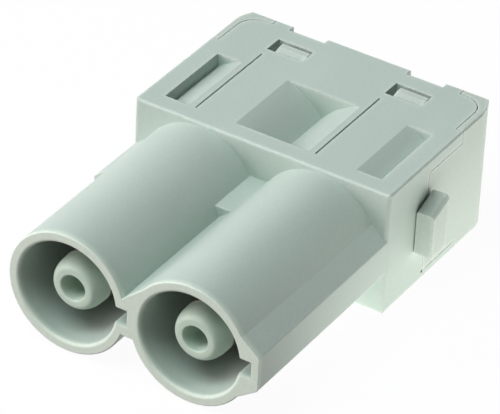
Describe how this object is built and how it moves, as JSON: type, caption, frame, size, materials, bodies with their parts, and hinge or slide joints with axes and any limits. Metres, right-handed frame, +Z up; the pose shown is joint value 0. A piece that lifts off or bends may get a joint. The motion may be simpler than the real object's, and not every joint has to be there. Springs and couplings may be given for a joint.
{
  "type": "modular connector insert",
  "caption": "Pin-side high-current insert for a modular connector frame: grey moulded box with open keyed shrouds round hollow contact pins, and a clip-in rear cover with wire entries",
  "frame": {"origin": "on the bottom face, under the middle of the insert's length and width", "axes": "X across the two contacts, +Y to the wire side with the shrouds towards -Y, +Z up"},
  "size_m": [0.0354, 0.0458, 0.0147],
  "materials": {
    "body_plastic": "satin grey-green moulded polycarbonate",
    "cover_plastic": "satin grey moulded polycarbonate",
    "guard_plastic": "satin grey-green moulded plastic",
    "contact_silver": "turned copper alloy, silver plated",
    "screw_steel": "turned steel"
  },
  "bodies": {
    "root": {"insulator_body": "body_plastic", "rear_cover": "cover_plastic", "contact_pin_left": "contact_silver", "contact_pin_right": "contact_silver", "touch_guard_left": "guard_plastic", "touch_guard_right": "guard_plastic", "clamp_screw_left": "screw_steel", "clamp_screw_right": "screw_steel"}
  },
  "joints": []
}
